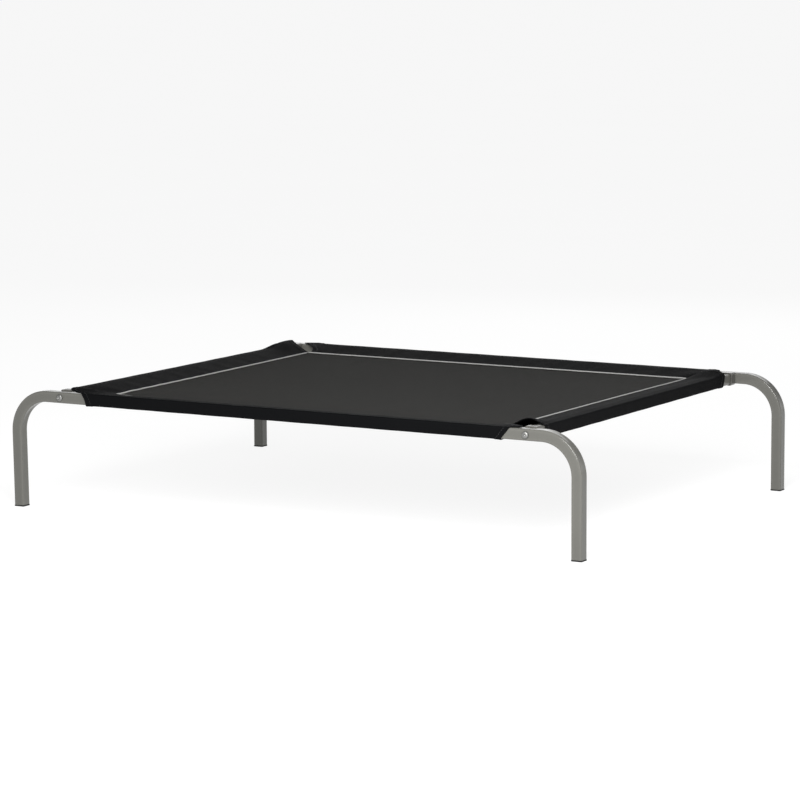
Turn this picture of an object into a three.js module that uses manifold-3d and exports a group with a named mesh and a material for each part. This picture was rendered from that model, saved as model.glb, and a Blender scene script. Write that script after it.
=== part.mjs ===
// Raised dog bed: a bolted frame of square steel tube with a fabric deck stretched across it.
// Millimetres, +Z up. The origin is the centre of the footprint, on the floor.
// X runs along the two long rails and Y across the bed. The frame mirrors in X and in Y.

import * as THREE from 'three';
import { mergeVertices } from 'three/addons/utils/BufferGeometryUtils.js';
import Module from 'manifold-3d';

// Frame
const LENGTH = 1100; // over the outer faces of the legs, along X
const WIDTH = 790; // over the outer faces of the long rails, along Y
const HEIGHT = 205; // top face of the rails above the floor
const TUBE = 19; // side of the square tube
const WALL = 1.2; // its wall
const TUBE_CORNER = 2; // its outside corner radius
const BEND_RADIUS = 63; // of the tube's centreline, where a long rail turns down into a leg
const CROSS_X = 450; // centreline of each cross rail
const GAP = 0.3; // between pieces that touch

// Corner sockets, in which the ends of the cross rails sit
const SOCKET_SIDE = 22.8;
const SOCKET_LENGTH = 17;
const SOCKET_END = 2.5; // end wall, clamped against the long rail

// Bolts, nuts and the plugs that hold the nuts in the ends of the cross rails
const BOLT_RADIUS = 3;
const BOLT_HOLE_RADIUS = 3.4;
const BOLT_REACH = 40; // shank, under the head
const HEAD_RADIUS = 6;
const HEAD_HEIGHT = 3.4;
const HEX_KEY = 4; // across flats
const HEX_DEPTH = 2;
const NUT_ACROSS_FLATS = 10;
const NUT_HEIGHT = 5;
const PLUG_SIDE = 16;
const PLUG_LENGTH = 16;

// Feet
const FOOT_SIDE = 20;
const FOOT_FLANGE = 2;
const FOOT_INSERT = 15.9;
const FOOT_INSERT_HEIGHT = 16;
const FOOT_INSERT_WALL = 1.8;

// Fabric deck
const SEAM_X = 389; // seam between the panel and the side sleeves
const SEAM_Y = 325; // seam between the panel and the front and rear sleeves
const LONG_SLEEVE_END = 408; // half length of the front and rear sleeves, on their rails
const SIDE_SLEEVE_END = 331; // half length of the left and right sleeves, on their rails
const CLOTH = 1.2; // sleeve cloth with its turnings
const PANEL_THICKNESS = 2;
const SEAM_THICKNESS = 3;
const PIPING_WIDTH = 3.2;
const PIPING_HEIGHT = 1.8;

// Worked out from the above
const RAIL_Y = (WIDTH - TUBE) / 2;
const RAIL_Z = HEIGHT - TUBE / 2;
const LEG_X = (LENGTH - TUBE) / 2;
const BEND_STEPS = 10;
const ROUND = 20; // sides of a small round shape

const wasm = await Module();
wasm.setup();

const paint = { color: 0x8a8983, roughness: 0.42, metalness: 0.45 };
const zinc = { color: 0xa9a9a6, roughness: 0.3, metalness: 0.9 };
const blackPlastic = { color: 0x1c1c1c, roughness: 0.6, metalness: 0 };
const panelCloth = { color: 0x3e3e3c, roughness: 0.9, metalness: 0 };
const sleeveCloth = { color: 0x17181b, roughness: 0.85, metalness: 0 };
const pipingCloth = { color: 0x9d9d9b, roughness: 0.7, metalness: 0 };

const bed = new THREE.Group();

function place(name, geometry, finish, x = 0, y = 0, z = 0) {
  const mesh = new THREE.Mesh(geometry, new THREE.MeshStandardMaterial(finish));
  mesh.name = name;
  mesh.position.set(x, y, z);
  bed.add(mesh);
  return mesh;
}

// Booleans

function toSolid(geometry) {
  const bare = geometry.index ? geometry.toNonIndexed() : geometry.clone();
  bare.deleteAttribute('normal');
  bare.deleteAttribute('uv');
  const merged = mergeVertices(bare, 1e-4);
  const vertProperties = new Float32Array(merged.attributes.position.array);
  const triVerts = new Uint32Array(merged.index.array);
  return new wasm.Manifold(new wasm.Mesh({ numProp: 3, vertProperties, triVerts }));
}

function toGeometry(solid) {
  const mesh = solid.getMesh();
  const geometry = new THREE.BufferGeometry();
  geometry.setAttribute('position', new THREE.BufferAttribute(mesh.vertProperties, 3));
  geometry.setIndex(new THREE.BufferAttribute(mesh.triVerts, 1));
  geometry.computeVertexNormals();
  return geometry;
}

function cut(geometry, ...tools) {
  let solid = toSolid(geometry);
  for (const tool of tools) solid = solid.subtract(toSolid(tool));
  return toGeometry(solid);
}

// Outlines

function roundedSquare(side, radius, Kind = THREE.Shape) {
  const half = side / 2;
  const inner = half - radius;
  const outline = new Kind();
  outline.moveTo(half, -inner);
  outline.lineTo(half, inner);
  outline.absarc(inner, inner, radius, 0, Math.PI / 2);
  outline.lineTo(-inner, half);
  outline.absarc(-inner, inner, radius, Math.PI / 2, Math.PI);
  outline.lineTo(-half, -inner);
  outline.absarc(-inner, -inner, radius, Math.PI, 1.5 * Math.PI);
  outline.lineTo(inner, -half);
  outline.absarc(inner, -inner, radius, 1.5 * Math.PI, 2 * Math.PI);
  return outline;
}

function tubeSection() {
  const section = roundedSquare(TUBE, TUBE_CORNER);
  section.holes.push(roundedSquare(TUBE - 2 * WALL, TUBE_CORNER - WALL, THREE.Path));
  return section;
}

function extrude(shape, depth, curveSegments = 3) {
  return new THREE.ExtrudeGeometry(shape, { depth, curveSegments, bevelEnabled: false });
}

// An extrusion that starts at y = 0 and runs towards +Y, its outline's x and y becoming X and Z.
function extrudeAlongY(shape, depth, curveSegments) {
  return extrude(shape, depth, curveSegments).rotateX(Math.PI / 2).translate(0, depth, 0);
}

// A cylinder that starts at y = 0 and runs towards +Y.
function pegAlongY(radius, length, sides = ROUND) {
  return new THREE.CylinderGeometry(radius, radius, length, sides).translate(0, length / 2, 0);
}

// The centreline of a long rail: up the left leg, round its bend, along the top, and down again.
// One step covers each straight and BEND_STEPS cover each bend.
class RailPath extends THREE.Curve {
  getUtoTmapping(u) {
    return u;
  }

  at(t) {
    const steps = 2 * BEND_STEPS + 3;
    const side = t < 0.5 ? -1 : 1;
    const step = Math.min(t, 1 - t) * steps;
    const turn = THREE.MathUtils.clamp((step - 1) / BEND_STEPS, 0, 1) * (Math.PI / 2);
    return { side, step, turn };
  }

  getPoint(t) {
    const { side, step, turn } = this.at(t);
    const legBottom = FOOT_FLANGE + GAP;
    const bendBottom = RAIL_Z - BEND_RADIUS;
    const bendEnd = LEG_X - BEND_RADIUS;
    let x = LEG_X - BEND_RADIUS * (1 - Math.cos(turn));
    let z = bendBottom + BEND_RADIUS * Math.sin(turn);
    if (step < 1) z = THREE.MathUtils.lerp(legBottom, bendBottom, step);
    if (step > 1 + BEND_STEPS) x = bendEnd * (1 - 2 * (step - 1 - BEND_STEPS));
    return new THREE.Vector3(side * x, 0, z);
  }

  getTangent(t) {
    const { side, turn } = this.at(t);
    return new THREE.Vector3(Math.sin(turn), 0, -side * Math.cos(turn));
  }
}

// Frame

function longRail() {
  const tube = new THREE.ExtrudeGeometry(tubeSection(), {
    extrudePath: new RailPath(),
    steps: 2 * BEND_STEPS + 3,
    curveSegments: 3,
    bevelEnabled: false,
  });
  const drills = [-1, 1].map((side) =>
    pegAlongY(BOLT_HOLE_RADIUS, 2 * TUBE).translate(side * CROSS_X, -TUBE, RAIL_Z),
  );
  return cut(tube, ...drills);
}

function crossRail() {
  const inset = TUBE + GAP + SOCKET_END + GAP;
  const length = WIDTH - 2 * inset;
  return extrudeAlongY(tubeSection(), length).translate(0, -length / 2, 0);
}

// The closed end of the socket is at y = 0 and its mouth faces +Y.
function cornerSocket() {
  const body = extrudeAlongY(roundedSquare(SOCKET_SIDE, 2.6), SOCKET_LENGTH);
  const pocket = extrudeAlongY(roundedSquare(TUBE + 2 * GAP, 2.2), SOCKET_LENGTH);
  pocket.translate(0, SOCKET_END, 0);
  const drill = pegAlongY(BOLT_HOLE_RADIUS, 2 * SOCKET_END).translate(0, -SOCKET_END / 2, 0);
  return cut(body, pocket, drill);
}

// The plug's outer end is at y = 0. The nut sits in a hexagon pocket in its inner end.
function nutPlug() {
  const body = extrudeAlongY(roundedSquare(PLUG_SIDE, 1), PLUG_LENGTH);
  const drill = pegAlongY(BOLT_HOLE_RADIUS, 2 * PLUG_LENGTH).translate(0, -PLUG_LENGTH / 2, 0);
  const pocket = hexagonAlongY(NUT_ACROSS_FLATS + 2 * GAP, 2 * NUT_HEIGHT);
  pocket.translate(0, PLUG_LENGTH - NUT_HEIGHT - GAP, 0);
  return cut(body, drill, pocket);
}

function hexagonAlongY(acrossFlats, length) {
  return pegAlongY(acrossFlats / Math.sqrt(3), length, 6);
}

function captiveNut() {
  const drill = pegAlongY(BOLT_HOLE_RADIUS, 2 * NUT_HEIGHT).translate(0, -NUT_HEIGHT / 2, 0);
  return cut(hexagonAlongY(NUT_ACROSS_FLATS, NUT_HEIGHT), drill);
}

// A button head with a hexagon socket. The head is on the -Y side of y = 0, and the shank runs to +Y.
function cornerBolt() {
  const profile = new THREE.Path();
  profile.moveTo(0, BOLT_REACH);
  profile.lineTo(BOLT_RADIUS, BOLT_REACH - 1);
  profile.lineTo(BOLT_RADIUS, 0);
  profile.lineTo(HEAD_RADIUS, 0);
  profile.lineTo(HEAD_RADIUS, -0.8);
  profile.quadraticCurveTo(HEAD_RADIUS * 0.8, -HEAD_HEIGHT, HEAD_RADIUS * 0.45, -HEAD_HEIGHT);
  profile.lineTo(0, -HEAD_HEIGHT);
  const turned = new THREE.LatheGeometry(profile.getPoints(4).reverse(), ROUND);
  const socket = hexagonAlongY(HEX_KEY, 2 * HEX_DEPTH).translate(0, -HEAD_HEIGHT - HEX_DEPTH, 0);
  return cut(turned, socket);
}

// A flange under the leg, and a hollow insert, open at its top, that grips the inside of the tube.
function footCap() {
  const flange = extrude(roundedSquare(FOOT_SIDE, 2.2), FOOT_FLANGE);
  const overlap = 0.5;
  const insert = extrude(roundedSquare(FOOT_INSERT, 0.8), FOOT_INSERT_HEIGHT + overlap);
  insert.translate(0, 0, FOOT_FLANGE - overlap);
  const hollow = new THREE.BoxGeometry(
    FOOT_INSERT - 2 * FOOT_INSERT_WALL,
    FOOT_INSERT - 2 * FOOT_INSERT_WALL,
    FOOT_INSERT_HEIGHT,
  );
  hollow.translate(0, 0, FOOT_FLANGE + FOOT_INSERT_HEIGHT / 2 + overlap);
  return toGeometry(toSolid(flange).add(toSolid(insert)).subtract(toSolid(hollow)));
}

// Fabric

// The section of a sleeve round its rail, with the rail's centre at 0, 0 and the deck towards +x.
// Its upper and lower layers meet at the seam, level with the middle of the rail.
function sleeveSection(reach) {
  const inside = TUBE / 2 + GAP;
  const outside = inside + CLOTH;
  const tip = reach - GAP;
  const section = new THREE.Shape();
  section.moveTo(-outside, -outside);
  section.lineTo(inside, -outside);
  section.lineTo(tip, -SEAM_THICKNESS / 2);
  section.lineTo(tip, SEAM_THICKNESS / 2);
  section.lineTo(inside, outside);
  section.lineTo(-outside, outside);
  const hollow = new THREE.Path();
  hollow.moveTo(-inside, -inside);
  hollow.lineTo(-inside, inside);
  hollow.lineTo(inside, inside);
  hollow.lineTo(tip - 8, 0.4);
  hollow.lineTo(tip - 8, -0.4);
  hollow.lineTo(inside, -inside);
  section.holes.push(hollow);
  return section;
}

// The sleeve seen from above, along y from -end to end, narrowing from the rail to the seam.
function sleeveOutline(reach, end, seamEnd) {
  const outside = TUBE / 2 + 5;
  const inside = TUBE / 2;
  const outline = new THREE.Shape();
  outline.moveTo(-outside, -end);
  outline.lineTo(inside, -end);
  outline.quadraticCurveTo((inside + reach) / 2, -seamEnd, reach, -seamEnd);
  outline.lineTo(reach, seamEnd);
  outline.quadraticCurveTo((inside + reach) / 2, seamEnd, inside, end);
  outline.lineTo(-outside, end);
  return outline;
}

// A sleeve along Y, with the deck towards +X.
function sleeve(reach, end, seamEnd) {
  const wrap = extrudeAlongY(sleeveSection(reach), 2 * end).translate(0, -end, 0);
  const trim = extrude(sleeveOutline(reach, end, seamEnd), 2 * TUBE, 4).translate(0, 0, -TUBE);
  return toGeometry(toSolid(wrap).intersect(toSolid(trim)));
}

// The panel stops just inside the piping, so that its top is clear to its edge.
function deckPanel() {
  const edge = PIPING_WIDTH / 2 + GAP;
  return new THREE.BoxGeometry(2 * (SEAM_X - edge), 2 * (SEAM_Y - edge), PANEL_THICKNESS);
}

// Half-round piping along Y, its flat side at z = 0.
function piping(halfLength) {
  const section = new THREE.Shape();
  section.moveTo(-PIPING_WIDTH / 2, 0);
  section.lineTo(PIPING_WIDTH / 2, 0);
  section.bezierCurveTo(
    PIPING_WIDTH / 2,
    PIPING_HEIGHT * 1.3,
    -PIPING_WIDTH / 2,
    PIPING_HEIGHT * 1.3,
    -PIPING_WIDTH / 2,
    0,
  );
  return extrudeAlongY(section, 2 * halfLength, 6).translate(0, -halfLength, 0);
}

// Assembly

for (const [name, side] of [['front', -1], ['rear', 1]]) {
  place(`${name}_rail`, longRail(), paint, 0, side * RAIL_Y, 0);
}

for (const [name, side] of [['left', -1], ['right', 1]]) {
  place(`${name}_cross_rail`, crossRail(), paint, side * CROSS_X, 0, RAIL_Z);
}

for (const [endName, endSide] of [['front', -1], ['rear', 1]]) {
  for (const [name, side] of [['left', -1], ['right', 1]]) {
    const corner = `${endName}_${name}`;
    const turn = endSide < 0 ? 0 : Math.PI;
    const x = side * CROSS_X;
    // Distances from the bed's middle to the outer end of each piece
    const bolt = WIDTH / 2 + GAP;
    const socket = WIDTH / 2 - TUBE - GAP;
    const plug = socket - SOCKET_END - GAP;
    const nut = plug - PLUG_LENGTH + NUT_HEIGHT;
    const pieces = [
      ['socket', cornerSocket(), paint, socket],
      ['bolt', cornerBolt(), zinc, bolt],
      ['nut_plug', nutPlug(), blackPlastic, plug],
      ['captive_nut', captiveNut(), zinc, nut],
    ];
    for (const [piece, geometry, finish, out] of pieces) {
      place(`${corner}_${piece}`, geometry, finish, x, endSide * out, RAIL_Z).rotation.z = turn;
    }
    place(`${corner}_foot`, footCap(), blackPlastic, side * LEG_X, endSide * RAIL_Y, 0);
  }
}

place('deck_panel', deckPanel(), panelCloth, 0, 0, RAIL_Z);

const sideReach = CROSS_X - SEAM_X;
const longReach = RAIL_Y - SEAM_Y;
const pipingZ = RAIL_Z + SEAM_THICKNESS / 2 + GAP;
const sidePiping = SEAM_Y - PIPING_WIDTH / 2 - GAP;
const longPiping = SEAM_X + PIPING_WIDTH / 2;

for (const [name, turn] of [['left', 0], ['right', Math.PI]]) {
  const x = -CROSS_X * Math.cos(turn);
  const seam = -SEAM_X * Math.cos(turn);
  const wrap = sleeve(sideReach, SIDE_SLEEVE_END, SEAM_Y - GAP);
  place(`${name}_sleeve`, wrap, sleeveCloth, x, 0, RAIL_Z).rotation.z = turn;
  place(`${name}_piping`, piping(sidePiping), pipingCloth, seam, 0, pipingZ);
}

for (const [name, turn] of [['front', Math.PI / 2], ['rear', -Math.PI / 2]]) {
  const y = -RAIL_Y * Math.sin(turn);
  const seam = -SEAM_Y * Math.sin(turn);
  const wrap = sleeve(longReach, LONG_SLEEVE_END, SEAM_X - GAP);
  place(`${name}_sleeve`, wrap, sleeveCloth, 0, y, RAIL_Z).rotation.z = turn;
  place(`${name}_piping`, piping(longPiping), pipingCloth, 0, seam, pipingZ).rotation.z = turn;
}

export default bed;
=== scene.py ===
"""A raised dog bed: a fabric deck stretched by four sleeves over a bolted frame of square steel tube.

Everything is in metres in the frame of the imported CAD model: +Z up, X along the two long rails.
"""

import math
import bmesh
import bpy
import numpy as np
from mathutils import Matrix, Vector


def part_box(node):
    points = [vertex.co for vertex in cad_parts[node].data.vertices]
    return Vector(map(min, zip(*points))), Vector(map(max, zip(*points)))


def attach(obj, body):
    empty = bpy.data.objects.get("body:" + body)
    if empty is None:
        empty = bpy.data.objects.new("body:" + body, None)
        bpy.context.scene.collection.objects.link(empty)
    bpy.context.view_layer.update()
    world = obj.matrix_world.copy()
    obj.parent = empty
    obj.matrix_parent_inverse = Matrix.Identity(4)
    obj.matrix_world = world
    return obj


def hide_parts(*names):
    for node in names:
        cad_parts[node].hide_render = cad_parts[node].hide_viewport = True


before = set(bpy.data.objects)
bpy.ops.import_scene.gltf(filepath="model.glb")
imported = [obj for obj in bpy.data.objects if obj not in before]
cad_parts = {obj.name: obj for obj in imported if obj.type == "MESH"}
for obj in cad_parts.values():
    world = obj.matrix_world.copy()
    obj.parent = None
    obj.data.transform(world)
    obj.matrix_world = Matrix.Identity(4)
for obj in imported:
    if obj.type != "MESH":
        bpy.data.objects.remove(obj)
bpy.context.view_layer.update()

MM = 0.001


def cad_centre(node):
    low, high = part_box(node)
    return (low + high) / 2


def cad_size(node):
    low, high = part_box(node)
    return high - low


# Sizes taken from the frame
TUBE = cad_size("rear_rail").y
RAIL_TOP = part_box("rear_rail")[1].z
TUBE_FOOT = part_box("rear_rail")[0].z
RAIL_Z = RAIL_TOP - TUBE / 2
RAIL_Y = cad_centre("rear_rail").y
LEG_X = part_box("rear_rail")[1].x - TUBE / 2
CROSS_X = cad_centre("right_cross_rail").x
CROSS_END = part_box("right_cross_rail")[1].y
SEAM_X = cad_centre("right_piping").x
SEAM_Y = cad_centre("rear_piping").y
SOCKET_SIDE = cad_size("rear_right_socket").x
SOCKET_LENGTH = cad_size("rear_right_socket").y
SOCKET_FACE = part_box("rear_right_socket")[1].y
HEAD_RADIUS = cad_size("rear_right_bolt").x / 2
BOLT_LENGTH = cad_size("rear_right_bolt").y
FOOT_SIDE = cad_size("rear_right_foot").x
FOOT_HEIGHT = cad_size("rear_right_foot").z

# Sizes that a box can't give, as in the CAD source
WALL = 1.2 * MM
TUBE_CORNER = 2.2 * MM
BEND_RADIUS = 63 * MM
SOCKET_END = 2.5 * MM
SOCKET_CORNER = 2.8 * MM
BOLT_RADIUS = 3 * MM
BOLT_HOLE = 3.4 * MM
HEAD_HEIGHT = 3.4 * MM
HEX_KEY = 4 * MM
HEX_DEPTH = 2 * MM
FOOT_FLANGE = 2 * MM
FOOT_INSERT = 15.9 * MM

# Cloth
CLOTH = 0.7 * MM
HEM_CLOTH = 1.5 * MM
HEM_WIDTH = 12 * MM
HEM_STITCH = 9.5 * MM
PANEL_CLOTH = 0.9 * MM
WRAP = TUBE / 2 + 0.65 * MM  # from a rail's centre to the middle of the cloth round it
WRAP_CORNER = 3 * MM
SEAM_TIP_INSET = -1.0 * MM
SEAM_TIP_HEIGHT = 0.9 * MM
PANEL_SAG = 3.5 * MM
FRONT_DIP = 1.5 * MM  # of the front seam, pulled down by its sleeve
PIPING_WIDTH = 3.1 * MM
PIPING_HEIGHT = 2.3 * MM
PIPING_INSET = 0.5 * MM


# ---------------------------------------------------------------- camera

CAMERA_PLACE = Vector((2.94305, -5.09603, 0.99542))
CAMERA_YAW = math.radians(30.0648)
CAMERA_PITCH = math.radians(7.9577)
CAMERA_ROLL = math.radians(-0.2577)
LENS_MM = 153.371
SENSOR_MM = 36


def make_camera():
    data = bpy.data.cameras.new("camera")
    data.lens = LENS_MM
    data.sensor_width = SENSOR_MM
    data.clip_start = 0.1
    data.clip_end = 1000
    camera = bpy.data.objects.new("camera", data)
    bpy.context.scene.collection.objects.link(camera)
    turn = Matrix.Rotation(CAMERA_YAW, 4, "Z")
    tilt = Matrix.Rotation(math.pi / 2 - CAMERA_PITCH, 4, "X")
    roll = Matrix.Rotation(CAMERA_ROLL, 4, "Z")
    camera.matrix_world = Matrix.Translation(CAMERA_PLACE) @ turn @ tilt @ roll
    bpy.context.scene.camera = camera


# ---------------------------------------------------------------- materials


class Finish:
    """A node material, built round one Principled shader."""

    def __init__(self, name, **plain):
        self.material = bpy.data.materials.new(name)
        self.material.use_nodes = True
        self.tree = self.material.node_tree
        self.shader = self.tree.nodes["Principled BSDF"]
        for socket, value in plain.items():
            self.shader.inputs[socket.replace("_", " ")].default_value = value

    def node(self, kind, settings=None, **inputs):
        made = self.tree.nodes.new(kind)
        for key, value in (settings or {}).items():
            setattr(made, key, value)
        for key, value in inputs.items():
            self.feed(made.inputs[key.replace("_", " ")], value)
        return made

    def feed(self, socket, value):
        if isinstance(value, bpy.types.NodeSocket):
            self.tree.links.new(value, socket)
        else:
            socket.default_value = value

    def math(self, operation, first, second=0.0):
        made = self.tree.nodes.new("ShaderNodeMath")
        made.operation = operation
        self.feed(made.inputs[0], first)
        self.feed(made.inputs[1], second)
        return made.outputs[0]

    def scaled(self, value, low, high):
        """value, from 0 to 1, spread between low and high."""
        made = self.node("ShaderNodeMapRange", Value=value, To_Min=low, To_Max=high)
        return made.outputs[0]

    def place(self):
        return self.node("ShaderNodeTexCoord").outputs["Object"]

    def attribute(self, name):
        return self.node("ShaderNodeAttribute", {"attribute_name": name})

    def noise(self, scale, detail=2.0, vector=None, distortion=0.0):
        made = self.node(
            "ShaderNodeTexNoise",
            Vector=vector or self.place(),
            Scale=scale,
            Detail=detail,
            Distortion=distortion,
        )
        return made.outputs[0]

    def blend(self, factor, dark, light):
        made = self.node("ShaderNodeMix", {"data_type": "RGBA"})
        self.feed(made.inputs[0], factor)
        self.feed(made.inputs[6], (*dark, 1))
        self.feed(made.inputs[7], (*light, 1))
        return made.outputs[2]

    def bump(self, height, distance, strength=1.0, below=None):
        made = self.node(
            "ShaderNodeBump", Height=height, Distance=distance, Strength=strength
        )
        if below is not None:
            self.feed(made.inputs["Normal"], below)
        return made.outputs[0]

    def colour(self, value):
        self.feed(self.shader.inputs["Base Color"], value)

    def roughness(self, value):
        self.feed(self.shader.inputs["Roughness"], value)

    def normal(self, value):
        self.feed(self.shader.inputs["Normal"], value)

    def weave(self, warp_pitch, weft_pitch):
        """A plain weave from the cloth attribute: (height, warp thread number, weft thread number)."""
        flat = self.node(
            "ShaderNodeSeparateXYZ", Vector=self.attribute("cloth").outputs["Vector"]
        )
        across = self.math("DIVIDE", flat.outputs["X"], warp_pitch)
        along = self.math("DIVIDE", flat.outputs["Y"], weft_pitch)
        warp = self.math("FLOOR", across)
        weft = self.math("FLOOR", along)
        crowns = []
        for value in (across, along):
            wave = self.math("SINE", self.math("MULTIPLY", value, math.pi))
            crowns.append(self.math("ABSOLUTE", wave))
        over = []
        for thread, crossing in (crowns, crowns[::-1]):
            hump = self.scaled(crossing, 0.55, 1.0)
            over.append(self.math("MULTIPLY", thread, hump))
        turn = self.math("FLOORED_MODULO", self.math("ADD", warp, weft), 2.0)
        chosen = self.node("ShaderNodeMix", {"data_type": "FLOAT"})
        self.feed(chosen.inputs[0], turn)
        self.feed(chosen.inputs[2], over[0])
        self.feed(chosen.inputs[3], over[1])
        return chosen.outputs[0], warp, weft

    def thread_tone(self, thread, seed):
        """A steady tone for each thread, from 0 to 1."""
        shifted = self.math("ADD", thread, seed)
        made = self.node("ShaderNodeTexWhiteNoise", {"noise_dimensions": "1D"}, W=shifted)
        return made.outputs["Value"]


def frame_paint(name, dark, light):
    """Silver-grey powder coat: fine metallic grain, orange peel, and edges a little lighter and smoother
    in patches.
    """
    finish = Finish(name, Specular_IOR_Level=0.1, Coat_Weight=1.0, Coat_Roughness=0.12, Coat_IOR=1.3)
    grain = finish.noise(2600, 3)
    cloud = finish.noise(14, 3)
    # Patches along the tube corners, a little lighter in colour and smoother.
    edge_patches = finish.math("MULTIPLY", finish.attribute("edge").outputs["Fac"], finish.noise(160, 4))
    tone = finish.math("ADD", finish.scaled(grain, 0.0, 0.5), finish.scaled(cloud, 0.0, 0.4))
    tone = finish.math("ADD", tone, finish.scaled(edge_patches, 0.0, 0.35))
    finish.colour(finish.blend(tone, dark, light))
    worn = finish.math("ADD", finish.scaled(cloud, 0.3, 0.4), finish.scaled(edge_patches, 0.0, -0.1))
    finish.roughness(worn)
    peel = finish.bump(finish.noise(850, 2), 0.05 * MM, 0.35)
    finish.normal(finish.bump(grain, 0.02 * MM, 0.4, below=peel))
    return finish.material


def zinc_plate():
    finish = Finish("zinc_plate", Metallic=1.0)
    cloud = finish.noise(420, 4)
    spots = finish.noise(2400, 2)
    finish.colour(finish.blend(cloud, (0.18, 0.18, 0.175), (0.3, 0.3, 0.29)))
    finish.roughness(finish.scaled(cloud, 0.48, 0.66))
    finish.normal(finish.bump(spots, 0.03 * MM, 0.5))
    return finish.material


def black_plastic():
    finish = Finish("black_plastic", Specular_IOR_Level=0.25)
    grain = finish.noise(1900, 3)
    scuffs = finish.noise(240, 4, distortion=1.5)
    finish.colour(finish.blend(scuffs, (0.004, 0.004, 0.004), (0.011, 0.011, 0.0105)))
    finish.roughness(finish.scaled(scuffs, 0.48, 0.7))
    finish.normal(finish.bump(grain, 0.08 * MM, 0.6))
    return finish.material


def woven_cloth(name, pitch, dark, light, bump, specular, rough):
    """Plain-woven cloth. Threads differ a little in tone, the weave stands in the bump, and painted shade
    darkens its hollows.
    """
    finish = Finish(name, Specular_IOR_Level=specular)
    height, warp, weft = finish.weave(pitch, pitch)
    streak = finish.thread_tone(warp, 11.5)
    bar = finish.thread_tone(weft, 71.5)
    wide = finish.noise(9, 4)
    fuzz = finish.noise(700, 3)
    tone = finish.math("ADD", finish.scaled(streak, 0.0, 0.16), finish.scaled(bar, 0.0, 0.12))
    tone = finish.math("ADD", tone, finish.scaled(wide, 0.0, 0.3))
    tone = finish.math("ADD", tone, finish.scaled(fuzz, 0.0, 0.14))
    # The weave's hollows are painted darker than its crowns: painted shade.
    tone = finish.math("ADD", tone, finish.scaled(height, 0.0, 0.3))
    finish.colour(finish.blend(tone, dark, light))
    finish.roughness(finish.scaled(wide, rough - 0.05, rough + 0.05))
    soft = finish.bump(fuzz, 0.05 * MM, 0.3)
    finish.normal(finish.bump(height, bump, 0.6, below=soft))
    return finish.material


def ribbed_cord(name, dark, light, pitch):
    """Twisted yarn: slanting plies wind round the length given by the cloth attribute, with painted shade
    in the grooves between them.
    """
    finish = Finish(name, Specular_IOR_Level=0.25, Sheen_Weight=0.15)
    flat = finish.node("ShaderNodeSeparateXYZ", Vector=finish.attribute("cloth").outputs["Vector"])
    slant = finish.math("ADD", flat.outputs["Y"], flat.outputs["X"])
    wave = finish.math("SINE", finish.math("MULTIPLY", slant, 2 * math.pi / pitch))
    ply = finish.scaled(finish.math("ABSOLUTE", wave), 0.0, 1.0)
    dirt = finish.noise(60, 4)
    # The grooves between the plies are painted darker than their crowns: painted shade.
    tone = finish.math("ADD", finish.scaled(ply, 0.0, 0.45), finish.scaled(dirt, 0.0, 0.55))
    finish.colour(finish.blend(tone, dark, light))
    finish.roughness(finish.scaled(dirt, 0.6, 0.8))
    finish.normal(finish.bump(ply, 0.12 * MM, 0.6))
    return finish.material


PAINT = frame_paint("frame_paint", (0.07, 0.069, 0.062), (0.112, 0.1105, 0.1))
# The sockets get a darker copy of the frame paint: painted shade where the cross tubes meet the long
# rails.
SOCKET_PAINT_WITH_PAINTED_SHADE = frame_paint("socket_paint_with_painted_shade", (0.06, 0.0585, 0.052), (0.096, 0.094, 0.085))
ZINC = zinc_plate()
PLASTIC = black_plastic()
PANEL = woven_cloth(
    "panel_cloth",
    pitch=1.4 * MM,
    dark=(0.0112, 0.0111, 0.0103),
    light=(0.031, 0.0305, 0.0284),
    bump=0.22 * MM,
    specular=0.07,
    rough=0.8,
)
SLEEVE = woven_cloth(
    "sleeve_cloth",
    pitch=0.7 * MM,
    dark=(0.0013, 0.0014, 0.0016),
    light=(0.0034, 0.0036, 0.0041),
    bump=0.12 * MM,
    specular=0.042,
    rough=0.68,
)
PIPING = ribbed_cord("piping_cloth", (0.17, 0.17, 0.165), (0.38, 0.38, 0.37), 1.3 * MM)
THREAD = ribbed_cord("sewing_thread", (0.003, 0.003, 0.0035), (0.009, 0.009, 0.01), 0.6 * MM)


# ---------------------------------------------------------------- mesh building


def quads(rows, columns, wrap_rows=False, wrap_columns=False):
    """Corner numbers of the quads between the points of a grid."""
    r = np.arange(rows if wrap_rows else rows - 1)[:, None]
    c = np.arange(columns if wrap_columns else columns - 1)[None, :]
    below, beside = (r + 1) % rows, (c + 1) % columns
    corners = (r * columns + c, r * columns + beside, below * columns + beside, below * columns + c)
    return np.stack([np.broadcast_to(k, corners[0].shape) for k in corners], -1).reshape(-1, 4)


def add_piece(name, points, faces, material, stands_for=()):
    mesh = bpy.data.meshes.new(name)
    mesh.from_pydata(np.asarray(points).reshape(-1, 3).tolist(), [], [list(f) for f in faces])
    mesh.polygons.foreach_set("use_smooth", np.ones(len(mesh.polygons), bool))
    mesh.materials.append(material)
    piece = bpy.data.objects.new(name, mesh)
    bpy.context.scene.collection.objects.link(piece)
    if stands_for:
        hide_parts(*stands_for)
    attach(piece, "root")
    return piece


def face_outwards(piece):
    work = bmesh.new()
    work.from_mesh(piece.data)
    bmesh.ops.recalc_face_normals(work, faces=work.faces)
    work.to_mesh(piece.data)
    work.free()


def store_vector(piece, name, values):
    kept = piece.data.attributes.new(name, "FLOAT_VECTOR", "POINT")
    kept.data.foreach_set("vector", np.asarray(values, np.float32).ravel())


def store_value(piece, name, values):
    kept = piece.data.attributes.new(name, "FLOAT", "POINT")
    kept.data.foreach_set("value", np.asarray(values, np.float32).ravel())


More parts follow.
